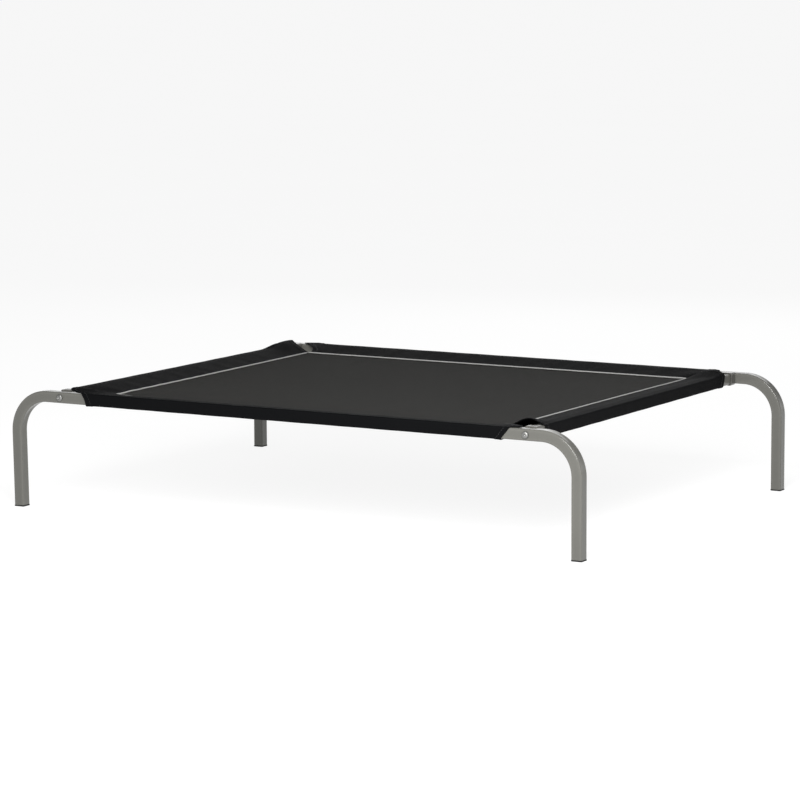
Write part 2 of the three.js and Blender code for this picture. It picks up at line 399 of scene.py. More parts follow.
def loft(rings, closed=False):
    """Points and faces of a skin over equal rings. Its ends close to a point, or join each other."""
    count, around = rings.shape[:2]
    points = rings.reshape(-1, 3)
    faces = quads(count, around, wrap_rows=closed, wrap_columns=True).tolist()
    if not closed:
        for ring, first in ((0, 0), (count - 1, (count - 1) * around)):
            centre = len(points)
            points = np.vstack([points, rings[ring].mean(0)])
            for k in range(around):
                faces.append([first + k, first + (k + 1) % around, centre])
    return points, faces


# ---------------------------------------------------------------- frame outlines

ARC_STEPS = 5


def square_ring(side, radius):
    """A rounded square, anticlockwise, with close points beside its corners to keep its flats flat."""
    half = side / 2
    inner = half - radius
    hold = inner - 0.35 * radius
    quarter = [(half, 0.0), (half, hold / 2), (half, hold)]
    for step in range(ARC_STEPS + 1):
        angle = step / ARC_STEPS * math.pi / 2
        quarter.append((inner + radius * math.cos(angle), inner + radius * math.sin(angle)))
    quarter += [(hold, half), (hold / 2, half)]
    ring = []
    for turn in range(4):
        for x, y in quarter:
            for _ in range(turn):
                x, y = -y, x
            ring.append((x, y))
    return np.array(ring)


RING_ANGLES = np.arctan2(*square_ring(TUBE, TUBE_CORNER).T[::-1])
RING_EDGE = (np.abs(np.abs(RING_ANGLES) % (math.pi / 2) - math.pi / 4) < 0.22).astype(float)


def round_ring(radius):
    return radius * np.stack([np.cos(RING_ANGLES), np.sin(RING_ANGLES)], -1)


def hexagon_ring(across_flats):
    sixth = math.pi / 3
    folded = (RING_ANGLES % sixth) - sixth / 2
    radius = across_flats / 2 / np.cos(folded)
    return radius[:, None] * np.stack([np.cos(RING_ANGLES), np.sin(RING_ANGLES)], -1)


def stack_along_y(levels):
    """Rings from (ring, y) pairs, each ring's x and y becoming X and Z."""
    return np.array([[(x, y, z) for x, z in ring] for ring, y in levels])


def edge_values(point_count):
    """1 on the corners of a piece made of square rings, and 0 on its flats."""
    return np.resize(RING_EDGE, point_count)


# ---------------------------------------------------------------- frame pieces

BEND_STATIONS = 30
INNER_DENT = 0.9 * MM
OUTER_DENT = 0.35 * MM
SIDE_SWELL = 0.3 * MM
FRONT_LEFT_OVER_BEND = math.radians(1.0)


def rail_stations(over_bend):
    """(x, z, turn, strain) along the right half of a long rail, from its middle to the bottom of its leg.
    turn is how far the tube has bent down, and strain is 1 in the middle of the bend."""
    full_turn = math.pi / 2 + over_bend
    bend_z = RAIL_Z - BEND_RADIUS
    leg_top = bend_z + BEND_RADIUS * math.cos(full_turn)
    leg_top_x = LEG_X + (leg_top - TUBE_FOOT) * math.tan(over_bend)
    bend_x = leg_top_x - BEND_RADIUS * math.sin(full_turn)
    stations = [(x, RAIL_Z, 0.0, 0.0) for x in np.linspace(0, bend_x, 12)[:-1]]
    for step in range(BEND_STATIONS + 1):
        turn = step / BEND_STATIONS * full_turn
        strain = math.sin(step / BEND_STATIONS * math.pi) ** 0.6 if 0 < step < BEND_STATIONS else 0.0
        x = bend_x + BEND_RADIUS * math.sin(turn)
        z = bend_z + BEND_RADIUS * math.cos(turn)
        stations.append((x, z, turn, strain))
    low = [bend_z - 15 * MM, bend_z / 2, 30 * MM, TUBE_FOOT + 0.6 * MM, TUBE_FOOT + 0.15 * MM, TUBE_FOOT]
    stations += [(LEG_X + (z - TUBE_FOOT) * math.tan(over_bend), z, full_turn, 0.0) for z in low]
    return stations


def bent_section(ring, strain):
    """The tube's section in a bend: its inner wall dents, its outer wall flattens and its sides swell."""
    out, side = ring[:, 0], ring[:, 1]
    share = np.clip(np.abs(side) / (TUBE / 2 - TUBE_CORNER), 0, 1)
    dish = np.cos(share * math.pi / 2) ** 2
    inward = np.where(out < 0, INNER_DENT, -OUTER_DENT) * dish * (np.abs(out) > TUBE / 2 - 2 * WALL)
    spread = np.cos(np.clip(out / (TUBE / 2), -1, 1) * math.pi / 2)
    swell = np.sign(side) * SIDE_SWELL * spread
    return np.stack([out + strain * inward, side + strain * swell], -1)


def long_tube(name, y, left_over_bend=0.0):
    right = rail_stations(0.0)
    left = [(-x, z, -turn, strain) for x, z, turn, strain in rail_stations(left_over_bend)[:0:-1]]
    outer = square_ring(TUBE, TUBE_CORNER)
    inner = square_ring(TUBE - 2 * WALL, TUBE_CORNER - WALL)
    rings = []
    for section, path in ((outer, left + right), (inner, (left + right)[::-1])):
        for x, z, turn, strain in path:
            shaped = bent_section(section, strain)
            out = np.array([math.sin(turn), 0.0, math.cos(turn)])
            centre = np.array([x, y, z])
            ring = centre + shaped[:, :1] * out + shaped[:, 1:] * np.array([0.0, 1.0, 0.0])
            rings.append(ring)
    points, faces = loft(np.array(rings), closed=True)
    piece = add_piece(f"{name}_long_tube", points, faces, PAINT, [f"{name}_rail"])
    store_value(piece, "edge", edge_values(len(points)))
    face_outwards(piece)
    return piece


def cross_tube(name, x):
    outer = square_ring(TUBE, TUBE_CORNER)
    inner = square_ring(TUBE - 2 * WALL, TUBE_CORNER - WALL)
    stops = [CROSS_END - back for back in (0, 0.15 * MM, 0.6 * MM, 40 * MM)]
    path = [-stop for stop in stops] + [0.0] + stops[::-1]
    levels = [(outer, y) for y in path] + [(inner, y) for y in path[::-1]]
    points, faces = loft(stack_along_y(levels) + np.array([x, 0, RAIL_Z]), closed=True)
    piece = add_piece(f"{name}_cross_tube", points, faces, PAINT, [f"{name}_cross_rail"])
    store_value(piece, "edge", edge_values(len(points)))
    face_outwards(piece)
    return piece


def at_corner(points, side, end, reach):
    """Points made with their outer end at y = 0 and +y inwards, moved to a corner of the frame."""
    moved = points * np.array([1, -end, 1])
    return moved + np.array([side * CROSS_X, end * reach, RAIL_Z])


def corner_socket(corner, side, end):
    """A closed-ended square socket with a rounded back edge and an eased lip."""
    pocket = TUBE + 0.6 * MM
    lip = SOCKET_LENGTH
    levels = [
        (square_ring(SOCKET_SIDE - 1.6 * MM, SOCKET_CORNER - 0.8 * MM), 0.0),
        (square_ring(SOCKET_SIDE - 0.9 * MM, SOCKET_CORNER - 0.4 * MM), 0.12 * MM),
        (square_ring(SOCKET_SIDE - 0.3 * MM, SOCKET_CORNER - 0.1 * MM), 0.5 * MM),
        (square_ring(SOCKET_SIDE - 0.1 * MM, SOCKET_CORNER), 1.1 * MM),
        (square_ring(SOCKET_SIDE - 0.1 * MM, SOCKET_CORNER), lip - 4 * MM),
        (square_ring(SOCKET_SIDE - 0.1 * MM, SOCKET_CORNER), lip - 2.6 * MM),
        (square_ring(SOCKET_SIDE, SOCKET_CORNER), lip - 1.8 * MM),
        (square_ring(SOCKET_SIDE, SOCKET_CORNER), lip - 0.9 * MM),
        (square_ring(SOCKET_SIDE - 0.2 * MM, SOCKET_CORNER), lip - 0.25 * MM),
        (square_ring(SOCKET_SIDE - 0.8 * MM, SOCKET_CORNER), lip),
        (square_ring(pocket + 1.2 * MM, TUBE_CORNER + 0.6 * MM), lip),
        (square_ring(pocket + 0.5 * MM, TUBE_CORNER + 0.3 * MM), lip - 0.3 * MM),
        (square_ring(pocket, TUBE_CORNER), lip - 1.4 * MM),
        (square_ring(pocket, TUBE_CORNER), SOCKET_END + 0.5 * MM),
        (square_ring(pocket - 0.8 * MM, TUBE_CORNER - 0.4 * MM), SOCKET_END),
        (round_ring(BOLT_HOLE + 0.3 * MM), SOCKET_END),
        (round_ring(BOLT_HOLE), SOCKET_END - 0.3 * MM),
        (round_ring(BOLT_HOLE), 0.3 * MM),
        (round_ring(BOLT_HOLE + 0.3 * MM), 0.0),
    ]
    points, faces = loft(stack_along_y(levels), closed=True)
    points = at_corner(points, side, end, SOCKET_FACE)
    name = f"{corner}_corner_socket"
    # The darker socket paint is painted shade at the joint with the long rail.
    piece = add_piece(name, points, faces, SOCKET_PAINT_WITH_PAINTED_SHADE, [f"{corner}_socket"])
    store_value(piece, "edge", edge_values(len(points)))
    face_outwards(piece)
    return piece


def button_bolt(corner, side, end):
    """A button-head bolt with a hexagon key socket. y is measured inwards from under its head."""
    levels = [
        (hexagon_ring(HEX_KEY * 0.5), HEX_DEPTH - HEAD_HEIGHT + 0.5 * MM),
        (hexagon_ring(HEX_KEY * 0.96), HEX_DEPTH - HEAD_HEIGHT),
        (hexagon_ring(HEX_KEY), HEX_DEPTH - HEAD_HEIGHT - 0.15 * MM),
        (hexagon_ring(HEX_KEY), 0.35 * MM - HEAD_HEIGHT),
        (round_ring(HEX_KEY * 0.62), -HEAD_HEIGHT),
        (round_ring(HEX_KEY * 0.67), -HEAD_HEIGHT),
    ]
    crown = HEX_KEY * 0.72
    rim = 0.75 * MM
    steps = 8
    for step in range(steps + 1):
        turn = step / steps * math.pi / 2
        radius = crown + (HEAD_RADIUS - crown) * math.sin(turn)
        levels.append((round_ring(radius), -rim - (HEAD_HEIGHT - rim) * math.cos(turn)))
    reach = BOLT_LENGTH - HEAD_HEIGHT
    levels += [
        (round_ring(HEAD_RADIUS), -0.2 * MM),
        (round_ring(HEAD_RADIUS - 0.2 * MM), 0.0),
        (round_ring(BOLT_RADIUS + 0.2 * MM), 0.0),
        (round_ring(BOLT_RADIUS), 0.2 * MM),
        (round_ring(BOLT_RADIUS), reach - 1 * MM),
        (round_ring(BOLT_RADIUS - 0.8 * MM), reach),
    ]
    points, faces = loft(stack_along_y(levels))
    under_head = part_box(f"rear_{corner.split('_')[1]}_bolt")[1].y - HEAD_HEIGHT
    points = at_corner(points, side, end, under_head)
    piece = add_piece(f"{corner}_button_bolt", points, faces, ZINC, [f"{corner}_bolt"])
    face_outwards(piece)
    return piece


def foot_cap(corner, side, end):
    """A moulded cap: a rounded flange with a shallow recess under it, and a hollow insert up the tube."""
    corner_radius = TUBE_CORNER
    hollow = FOOT_INSERT - 3.6 * MM
    levels = [
        (square_ring(9 * MM, corner_radius), 0.7 * MM),
        (square_ring(11.4 * MM, corner_radius), 0.7 * MM),
        (square_ring(12.2 * MM, corner_radius), 0.0),
        (square_ring(FOOT_SIDE - 1.4 * MM, corner_radius), 0.0),
        (square_ring(FOOT_SIDE - 0.5 * MM, corner_radius), 0.25 * MM),
        (square_ring(FOOT_SIDE, corner_radius), 0.8 * MM),
        (square_ring(FOOT_SIDE, corner_radius), FOOT_FLANGE - 0.5 * MM),
        (square_ring(FOOT_SIDE - 0.3 * MM, corner_radius), FOOT_FLANGE - 0.15 * MM),
        (square_ring(FOOT_SIDE - 0.9 * MM, corner_radius), FOOT_FLANGE),
        (square_ring(FOOT_INSERT + 0.4 * MM, corner_radius / 2), FOOT_FLANGE),
        (square_ring(FOOT_INSERT, corner_radius / 2), FOOT_FLANGE + 0.4 * MM),
        (square_ring(FOOT_INSERT, corner_radius / 2), FOOT_HEIGHT - 1.5 * MM),
        (square_ring(FOOT_INSERT - 1 * MM, corner_radius / 2), FOOT_HEIGHT),
        (square_ring(hollow + 0.4 * MM, corner_radius / 2), FOOT_HEIGHT),
        (square_ring(hollow, corner_radius / 2), FOOT_HEIGHT - 0.4 * MM),
        (square_ring(hollow, corner_radius / 2), FOOT_FLANGE + 1.4 * MM),
        (square_ring(hollow - 1 * MM, corner_radius / 2), FOOT_FLANGE + 0.9 * MM),
    ]
    rings = np.array([[(x, y, z) for x, y in ring] for ring, z in levels])
    points, faces = loft(rings + np.array([side * LEG_X, end * RAIL_Y, 0]))
    name = f"{corner}_foot_cap"
    piece = add_piece(name, points, faces, PLASTIC, [f"{corner}_foot"])
    face_outwards(piece)
    return piece


# ---------------------------------------------------------------- deck surface


def fade(value, start, end):
    """0 before start, 1 after end, and smooth between."""
    t = np.clip((value - start) / (end - start), 0, 1)
    return t * t * (3 - 2 * t)


def uneven_wave(run, length, drift, drift_length):
    """A wave along a run. Its spacing drifts, so that it doesn't look ruled."""
    return np.sin(2 * math.pi * run / length + drift * np.sin(run / drift_length))


LEFT_SEAM_SKEW = 10 * MM
RIGHT_SEAM_SKEW = -4 * MM
PUCKER = 0.22 * MM
PUCKER_REACH = 35 * MM
FLAT_BY_SEAM = 5 * MM
FRONT_DIP_REACH = 60 * MM
CORNER_PULL = 0.5 * MM
CORNER_PULL_REACH = 70 * MM
CORNER_RAYS = 9


def seam_x(side, y):
    """The side seams pull a little off square towards the rear."""
    t = np.clip((y + SEAM_Y) / (2 * SEAM_Y), 0, 1)
    if side < 0:
        return -SEAM_X + 0.45 * LEFT_SEAM_SKEW - LEFT_SEAM_SKEW * t**1.5
    return SEAM_X - RIGHT_SEAM_SKEW * t**4


def deck_height(x, y):
    """Height of the deck's middle: a slight sag, drawn tight at its edges, with faint pull lines."""
    across = np.clip(1 - (x / SEAM_X) ** 2, 0, 1)
    along = np.clip(1 - (y / SEAM_Y) ** 2, 0, 1)
    sag = -PANEL_SAG * across**0.8 * along**0.8
    from_side = SEAM_X - np.abs(x)
    from_end = SEAM_Y - np.abs(y)
    side_wave = uneven_wave(y, 41 * MM, 1.3, 90 * MM)
    end_wave = uneven_wave(x, 47 * MM, 1.7, 110 * MM)
    pucker = PUCKER * side_wave * np.exp(-from_side / PUCKER_REACH)
    pucker += PUCKER * end_wave * np.exp(-from_end / PUCKER_REACH)
    inside = np.minimum(fade(from_side, 0, FLAT_BY_SEAM), fade(from_end, 0, FLAT_BY_SEAM))
    near_front = np.exp(-((SEAM_Y + y) / FRONT_DIP_REACH) ** 2)
    dip = -FRONT_DIP * near_front * fade(from_side, 0, FRONT_DIP_REACH)
    pull = CORNER_PULL * np.exp(-np.hypot(from_side, from_end) / CORNER_PULL_REACH)
    rays = pull * np.sin(CORNER_RAYS * np.arctan2(from_end, from_side))
    return RAIL_Z + sag + dip + (pucker + rays) * inside


def panel_cloth():
    rows, columns = 150, 176
    t = np.linspace(-1, 1, rows)[:, None]
    u = np.linspace(-1, 1, columns)[None, :]
    ease = 0.78 * t + 0.22 * np.sin(t * math.pi / 2)
    inset = 0.3 * MM
    y = ease * (SEAM_Y - inset) + 0 * u
    left = seam_x(-1, y) + inset
    right = seam_x(1, y) - inset
    spread = 0.5 + 0.5 * (0.78 * u + 0.22 * np.sin(u * math.pi / 2))
    x = left + (right - left) * spread
    points = np.stack([x, y, deck_height(x, y)], -1)
    piece = add_piece(
        "panel_cloth", points, quads(rows, columns), PANEL, ["deck_panel"]
    )
    store_vector(piece, "cloth", np.stack([x, y, 0 * x], -1))
    thicken(piece, PANEL_CLOTH)
    return piece


def thicken(piece, thickness, group=None, least=1.0):
    """Gives a cloth surface its thickness, less of it outside a vertex group."""
    shell = piece.modifiers.new("thickness", "SOLIDIFY")
    shell.thickness = thickness
    shell.offset = 0
    shell.use_even_offset = True
    if group is not None:
        weights = piece.vertex_groups.new(name="hem")
        for value in np.unique(group):
            weights.add(np.flatnonzero(group == value).tolist(), float(value), "REPLACE")
        shell.vertex_group = "hem"
        shell.thickness_vertex_group = least
    return shell


# ---------------------------------------------------------------- sleeves


class Section:
    """A sleeve's section round its rail: from the seam over the rail's top, down its outside and back.

    d is the distance inwards from the rail's centreline and z the height above it. flap is 0 round the
    rail and grows to 1 at the seam, and stretches with the distance to the seam."""

    FLAP_ROWS = 24
    ARC_ROWS = 6

    def __init__(self, reach):
        core = WRAP - WRAP_CORNER
        tip = reach - SEAM_TIP_INSET
        slope = 0.15
        for _ in range(6):
            leave_d = core + WRAP_CORNER * math.sin(slope)
            leave_z = core + WRAP_CORNER * math.cos(slope)
            slope = math.atan2(leave_z - SEAM_TIP_HEIGHT, tip - leave_d)
        self.leave_d, self.leave_z = leave_d, leave_z
        rows = []
        for share in np.linspace(1, 0, self.FLAP_ROWS + 1)[:-1]:
            rows.append((leave_d, leave_z, share, math.sin(slope), math.cos(slope)))
        rows += self.arc(core, core, math.pi / 2 - slope, math.pi / 2)
        rows += [(core * k, WRAP, 0.0, 0.0, 1.0) for k in (0.6, 0.2, -0.2, -0.6)]
        rows += self.arc(-core, core, math.pi / 2, math.pi)
        rows += [(-WRAP, core * k, 0.0, -1.0, 0.0) for k in (0.7, 0.35, 0.0)]
        mirrored = [(d, -z, share, nd, -nz) for d, z, share, nd, nz in rows[-2::-1]]
        table = np.array(rows + mirrored)
        self.d, self.z, self.flap, self.out_d, self.out_z = table.T[:, :, None]
        self.upper = (np.arange(len(table)) < len(rows))[:, None]
        steps = np.hypot(np.diff(self.nominal_d(tip), axis=0), np.diff(self.nominal_z(), axis=0))
        self.length = np.vstack([[0.0], np.cumsum(steps, axis=0)])

    def arc(self, centre_d, centre_z, start, end):
        made = []
        for angle in np.linspace(start, end, self.ARC_ROWS + 1):
            out_d, out_z = math.cos(angle), math.sin(angle)
            made.append(
                (centre_d + WRAP_CORNER * out_d, centre_z + WRAP_CORNER * out_z, 0.0, out_d, out_z)
            )
        return made

    def nominal_d(self, tip):
        return self.d + self.flap * (tip - self.leave_d)

    def nominal_z(self):
        tip = np.where(self.upper, SEAM_TIP_HEIGHT, -SEAM_TIP_HEIGHT)
        return self.z + self.flap * (tip - self.z)


ARCH_RUN = 52 * MM
FLARE = 0.8 * MM
FLARE_RUN = 9 * MM
RIPPLE = 0.3 * MM
FINE_RIPPLE = 0.18 * MM
FACE_WAVE = 0.1 * MM
CREASE_SLANT = 0.78
CREASE_WIDTH = 2.6 * MM


class Mouth:
    """One open end of a sleeve: where its hem runs and how its upper layer stands off.

    sign is -1 at the sleeve's first end and 1 at its last, and lengths are from the rail's middle.
    top, bottom and seam are where the hem crosses the rail's top, its underside and the seam, curve bends
    the hem between top and bottom, and inner moves it further along over the rail's inner side. lift is
    how high the upper layer rises between start, measured from the rail's centre, and the seam. peak is
    the share of that way where it is highest, and hold is how far back along the sleeve it stays so."""

    def __init__(
        self,
        sign,
        top,
        bottom,
        seam,
        lift,
        curve=1.0,
        peak=0.5,
        start=3 * MM,
        hold=0.0,
        inner=0.0,
    ):
        self.sign, self.top, self.bottom, self.seam = sign, top, bottom, seam
        self.lift, self.curve, self.inner = lift, curve, inner
        self.peak, self.start, self.hold = peak, start, hold

    def edge(self, section):
        """Where the hem crosses each row of the section, along the rail."""
        height = np.clip((section.z + WRAP) / (2 * WRAP), 0, 1)
        at_rail = self.bottom + (self.top - self.bottom) * height**self.curve
        at_rail = at_rail + self.inner * fade(section.d, -WRAP, 2 * MM) * section.upper
        notch = 1 - (1 - section.flap) ** 2
        return self.sign * (at_rail + (self.seam - at_rail) * notch)

    def arch(self, d, z, reach, from_edge, upper):
        """Lift of the upper layer from its start, on the rail or beside it, to the seam."""
        t = np.clip((d - self.start) / (reach - self.start), 0, 1)
        power = math.log(0.5) / math.log(self.peak)
        hump = np.sin(math.pi * t**power) ** 0.9
        side = np.where(d < 0, fade(z, -2 * MM, WRAP - WRAP_CORNER / 2), 1.0)
        fading = 1 - fade(from_edge, self.hold, self.hold + ARCH_RUN)
        return self.lift * hump * side * fading * upper


class Sleeve:
    def __init__(self, name, rail, inward, along, seam_reach, first, last, creases=()):
        self.name = name
        self.rail = np.array(rail)
        self.inward, self.along = np.array(inward), np.array(along)
        self.seam_reach = seam_reach
        self.mouths = (first, last)
        self.creases = creases
        self.section = Section(float(seam_reach(0.0)))

    def surface(self, s):
        """Points of the cloth's middle surface. s has a row for each row of the section."""
        section = self.section
        reach = self.seam_reach(s)
        d = section.nominal_d(reach - SEAM_TIP_INSET)
        z = section.nominal_z() + 0 * s
        on_flap = section.flap * (1 - section.flap) * 4
        ripple = RIPPLE * uneven_wave(s, 53 * MM, 1.9, 140 * MM)
        ripple += FINE_RIPPLE * np.sin(2 * math.pi * s / (29 * MM) + 0.7 + 9 * d)
        faces = FACE_WAVE * np.sin(2 * math.pi * s / (83 * MM) + 25 * z)
        off = ripple * on_flap + faces * (section.flap == 0)
        rise = 0 * s
        for mouth, edge in zip(self.mouths, self.edges()):
            from_edge = mouth.sign * (edge - s)
            off = off + FLARE * np.exp(-from_edge / FLARE_RUN) * (1 - section.flap)
            rise = rise + mouth.arch(d, z, reach, from_edge, section.upper)
        for start_s, height in self.creases:
            centre = start_s - CREASE_SLANT * (d - section.leave_d)
            off = off + height * np.exp(-(((s - centre) / CREASE_WIDTH) ** 2)) * on_flap * section.upper
        d = d + off * section.out_d
        z = z + off * section.out_z + rise
        flat = self.rail + d[..., None] * self.inward + s[..., None] * self.along
        settle = (deck_height(flat[..., 0], flat[..., 1]) - RAIL_Z) * section.flap**3
        flat[..., 2] = RAIL_Z + z + settle
        return flat

    def edges(self):
        return [mouth.edge(self.section) for mouth in self.mouths]


FOLD_STATIONS = [0, 0.4, 1, 2.2, 4, 6.5, 9, 10.8, 11.6, 12.4, 13.4]
BESIDE_HEM_STATIONS = [15.5, 19, 24, 30, 38, 47, 58]
HEM_STATIONS = np.array(FOLD_STATIONS + BESIDE_HEM_STATIONS) * MM
MIDDLE_STATION = 8.5 * MM


def sleeve_cloth(sleeve):
    section = sleeve.section
    first, last = sleeve.edges()
    inner_first, inner_last = first + HEM_STATIONS[-1], last - HEM_STATIONS[-1]
    count = int((inner_last - inner_first).max() / MIDDLE_STATION)
    middle = np.linspace(0, 1, count + 1)[1:-1]
    s = np.hstack(
        [
            first + HEM_STATIONS,
            inner_first + (inner_last - inner_first) * middle,
            last - HEM_STATIONS[::-1],
        ]
    )
    points = sleeve.surface(s)
    rows, columns = s.shape
    piece = add_piece(
        f"{sleeve.name}_sleeve_cloth",
        points,
        quads(rows, columns),
        SLEEVE,
        [f"{sleeve.name}_sleeve"],
    )
    store_vector(piece, "cloth", np.stack([section.length + 0 * s, s, 0 * s], -1))
    from_edge = np.minimum(s - first, last - s)
    hem = 1 - fade(from_edge, HEM_WIDTH - 0.6 * MM, HEM_WIDTH + 0.6 * MM)
    thicken(piece, HEM_CLOTH, np.round(hem.ravel(), 2), CLOTH / HEM_CLOTH)
    return piece


# ---------------------------------------------------------------- piping and stitching


def tube_along(path, ring):
    """Rings of a small tube along a nearly level path. ring's axes are sideways and up."""
    ahead = np.gradient(path, axis=0)
    ahead /= np.linalg.norm(ahead, axis=1)[:, None]
    sideways = np.cross(ahead, np.array([0.0, 0.0, 1.0]))
    sideways /= np.linalg.norm(sideways, axis=1)[:, None]
    up = np.cross(sideways, ahead)
    return path[:, None] + ring[None, :, :1] * sideways[:, None] + ring[None, :, 1:] * up[:, None]


def piping_ring():
    """A bead that sits on the seam, a little flat underneath."""
    angles = np.arange(14) / 14 * 2 * math.pi
    width = PIPING_WIDTH / 2 * np.cos(angles)
    height = PIPING_HEIGHT / 2 * np.sin(angles)
    return np.stack([width, np.maximum(height, -0.4 * PIPING_HEIGHT)], -1)


def piping_cord(name, path):
    rise = 0.7 * MM + 0.4 * PIPING_HEIGHT
    raised = path + np.array([0, 0, rise])
    ring = piping_ring()
    rings = tube_along(raised, ring)
    for index, share in ((0, 0.45), (1, 0.85), (-2, 0.85), (-1, 0.45)):
        rings[index] = raised[index] + (rings[index] - raised[index]) * share
    points, faces = loft(rings)
    piece = add_piece(
        f"{name}_piping_cord", points, faces, PIPING, [f"{name}_piping"]
    )
    run = np.concatenate([[0], np.cumsum(np.linalg.norm(np.diff(path, axis=0), axis=1))])
    around = np.arange(len(ring)) / len(ring) * math.pi * PIPING_WIDTH
    flat = np.zeros((len(path), len(ring), 3))
    flat[..., 0] = around
    flat[..., 1] = run[:, None]
    ends = np.zeros((2, 3))
    ends[1, 1] = run[-1]
    store_vector(piece, "cloth", np.vstack([flat.reshape(-1, 3), ends]))
    face_outwards(piece)
    return piece


STITCH_PITCH = 4.2 * MM
STITCH_LENGTH = 3.4 * MM
STITCH_RADIUS = 0.32 * MM
STITCH_SIDES = 6


def resample(path, pitch):
    """Points and directions at even steps along a path."""
    steps = np.linalg.norm(np.diff(path, axis=0), axis=1)
    run = np.concatenate([[0], np.cumsum(steps)])
    count = max(2, int(run[-1] / pitch))
    at = (np.arange(count) + 0.5) * run[-1] / count
    places = np.stack([np.interp(at, run, path[:, k]) for k in range(3)], -1)
    ahead = np.stack([np.interp(at + pitch / 2, run, path[:, k]) for k in range(3)], -1)
    behind = np.stack([np.interp(at - pitch / 2, run, path[:, k]) for k in range(3)], -1)
    directions = ahead - behind
    return places, directions / np.linalg.norm(directions, axis=1)[:, None]


def stitch_shape():
    """Points and faces of one stitch along x: a short thread that dips into the cloth at both ends."""
    profile = [(-0.5, 0.35), (-0.36, 0.85), (0.0, 1.0), (0.36, 0.85), (0.5, 0.35)]
    rings = []
    for along, share in profile:
        dip = -0.9 * STITCH_RADIUS * (2 * along) ** 4
        angles = np.arange(STITCH_SIDES) / STITCH_SIDES * 2 * math.pi
        ring = np.zeros((STITCH_SIDES, 3))
        ring[:, 0] = along * STITCH_LENGTH
        ring[:, 1] = STITCH_RADIUS * share * np.cos(angles)
        ring[:, 2] = STITCH_RADIUS * share * np.sin(angles) + dip
        rings.append(ring)
    return loft(np.array(rings))


def stitching(name, rows):
    """All the stitches of some rows as one piece. A row is (path, outward normals along it)."""
    shape, shape_faces = stitch_shape()
    points, faces, flat = [], [], []
    for path, normals in rows:
        places, ahead = resample(path, STITCH_PITCH)
        steps = np.linalg.norm(np.diff(path, axis=0), axis=1)
        run = np.concatenate([[0], np.cumsum(steps)])
        at = (np.arange(len(places)) + 0.5) * run[-1] / len(places)
        out = np.stack([np.interp(at, run, normals[:, k]) for k in range(3)], -1)
        out -= (out * ahead).sum(1)[:, None] * ahead
        out /= np.linalg.norm(out, axis=1)[:, None]
        aside = np.cross(out, ahead)
        for place, x_axis, y_axis, z_axis in zip(places, ahead, aside, out):
            first = len(points) * len(shape)
            points.append(place + shape @ np.array([x_axis, y_axis, z_axis]))
            faces += [[first + k for k in face] for face in shape_faces]
            flat.append(np.stack([shape[:, 1], shape[:, 0], 0 * shape[:, 0]], -1))
    piece = add_piece(name, np.vstack(points), faces, THREAD)
    store_vector(piece, "cloth", np.vstack(flat))
    face_outwards(piece)
    return piece


def hem_rows(sleeve):
    """Stitch rows round both mouths of a sleeve, on the outside of its hems."""
    section = sleeve.section
    rows = []
    across = sleeve.inward
    for mouth, edge in zip(sleeve.mouths, sleeve.edges()):
        s = edge - mouth.sign * HEM_STITCH
        path = sleeve.surface(s)[:, 0]
        out = section.out_d * across + section.out_z * np.array([0, 0, 1.0])
        rows.append((path + out * HEM_CLOTH / 2, out))
    return rows


def seam_path(side, inset=0.0, lift=0.0, trim=0.0, step=6 * MM):
    """A line along one seam on the deck's surface, inset towards the middle of the deck."""
    name, sign = side
    up = np.array([0, 0, 1.0])
    if name in ("left", "right"):
        y = np.linspace(-SEAM_Y + trim, SEAM_Y - trim, int(2 * SEAM_Y / step))
        x = seam_x(sign, y) - sign * inset
    else:
        low, high = seam_x(-1, sign * SEAM_Y), seam_x(1, sign * SEAM_Y)
        x = np.linspace(low + trim, high - trim, int(2 * SEAM_X / step))
        y = sign * (SEAM_Y - inset) + 0 * x
    return np.stack([x, y, deck_height(x, y)], -1) + lift * up


def flap_path(sleeve, back, upper):
    """A line along a sleeve's flap, back from the seam towards the rail, on its outside."""
    section = sleeve.section
    share = 1 - back / (section.nominal_d(float(sleeve.seam_reach(0.0)))[0, 0] - section.leave_d)
    row = int(np.argmin(np.abs(section.flap[: len(section.flap) // 2] - share)[:, 0]))
    if not upper:
        row = len(section.flap) - 1 - row
    first, last = sleeve.edges()
    low, high = first[row, 0] + HEM_WIDTH, last[row, 0] - HEM_WIDTH
    s = np.broadcast_to(np.linspace(low, high, 140), (len(section.flap), 140))
    path = sleeve.surface(s)[row]
    out = section.out_d[row] * sleeve.inward + section.out_z[row] * np.array([0, 0, 1.0])
    return path + out * CLOTH / 2, np.broadcast_to(out, path.shape)


# ---------------------------------------------------------------- lights and floor


def soft_light(name, place, target, size, power, colour=(1, 1, 1)):
    data = bpy.data.lights.new(name, "AREA")
    data.shape = "RECTANGLE"
    data.size, data.size_y = size
    data.energy = power
    data.color = colour
    light = bpy.data.objects.new(name, data)
    bpy.context.scene.collection.objects.link(light)
    light.location = place
    light.rotation_mode = "QUATERNION"
    light.rotation_quaternion = (Vector(target) - Vector(place)).to_track_quat("-Z", "Y")
    return light


FLOOR_GLOW = 0.87
HORIZON = 1.15
CEILING = 0.25
HORIZON_END = 0.08  # height of a direction of length 1
CEILING_START = 0.32


